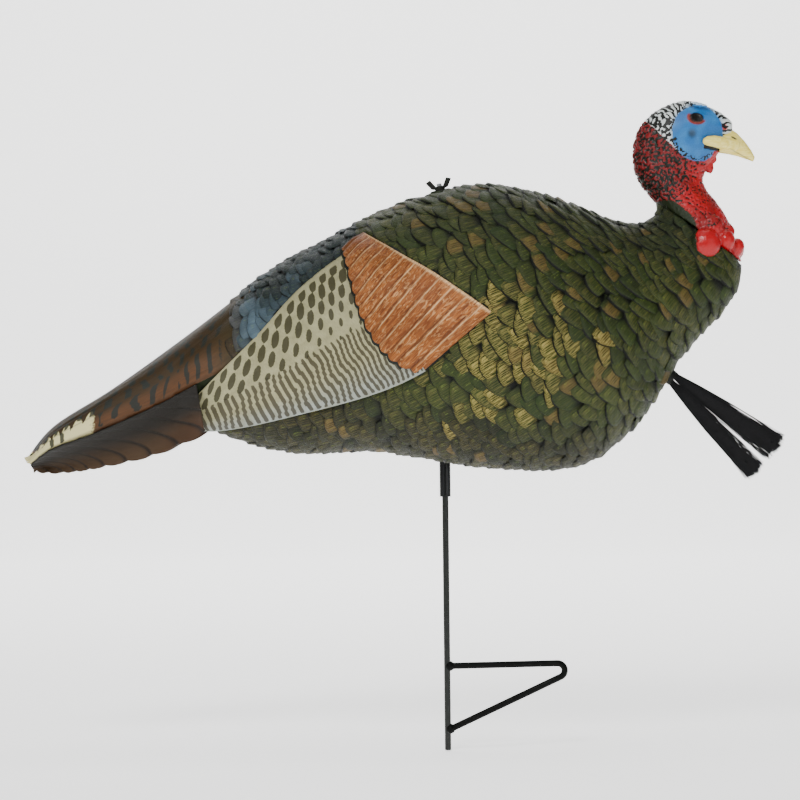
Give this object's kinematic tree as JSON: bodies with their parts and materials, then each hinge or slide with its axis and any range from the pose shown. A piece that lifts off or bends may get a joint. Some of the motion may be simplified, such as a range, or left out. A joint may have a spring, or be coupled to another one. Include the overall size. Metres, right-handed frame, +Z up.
{
  "type": "turkey decoy",
  "caption": "Hollow moulded turkey decoy that turns on a ground stake with a welded foot loop, with a plug-in head, a bristle beard and a wing nut on its back.",
  "frame": {"origin": "middle of the stake's lower end, where it meets the ground", "axes": "+Z up along the stake, +X towards the beak, +Y to the bird's left"},
  "size_m": [0.751, 0.2402, 0.645],
  "materials": {
    "stake_paint": "semi-gloss baked paint",
    "nylon": "moulded nylon",
    "tube_enamel": "gloss black enamel",
    "black_plastic": "moulded",
    "plated_steel": "zinc plated",
    "body_skin": "moulded polyethylene, hand painted",
    "black_rubber": "matt",
    "nut_plastic": "moulded, dark olive",
    "head_skin": "soft moulded vinyl, hand painted",
    "eye_acrylic": "polished",
    "bristle": "drawn nylon bristle"
  },
  "bodies": {
    "stake": {"stake_rod": "stake_paint", "foot_loop": "stake_paint", "step_weld": "stake_paint", "brace_weld": "stake_paint"},
    "thrust_button": {"thrust_button": "nylon"},
    "decoy": {"support_tube": "tube_enamel", "tube_plug": "black_plastic", "back_bolt": "plated_steel", "backing_washer": "plated_steel", "body_shell": "body_skin", "belly_bush": "black_plastic", "neck_collar": "black_plastic", "beard_grommet": "black_rubber", "back_washer": "nut_plastic"},
    "wing_nut": {"wing_nut": "nut_plastic"},
    "head": {"head_shell": "head_skin", "neck_plug": "black_plastic", "eye_right": "eye_acrylic", "eye_left": "eye_acrylic"},
    "beard": {"beard_plug": "black_plastic", "beard_upper_tuft": "bristle", "beard_lower_tuft": "bristle"}
  },
  "joints": [
    {"name": "body_swivel", "type": "hinge", "parent": "stake", "child": "thrust_button", "pos_m": [0, 0, 0.535], "axis": [0, 0, 1], "continuous": true},
    {"name": "lift_off", "type": "slide", "parent": "thrust_button", "child": "decoy", "axis": [0, 0, 1], "range_m": [0, 0.3]},
    {"name": "nut_turn", "type": "hinge", "parent": "decoy", "child": "wing_nut", "pos_m": [-0.0014, 0, 0.5586], "axis": [-0.1908, 0, 0.9816], "continuous": true},
    {"name": "head_pull", "type": "slide", "parent": "decoy", "child": "head", "axis": [0.5848, 0, 0.8112], "range_m": [0, 0.04]},
    {"name": "beard_pull", "type": "slide", "parent": "decoy", "child": "beard", "axis": [0.7431, 0, -0.6691], "range_m": [0, 0.03]}
  ]
}
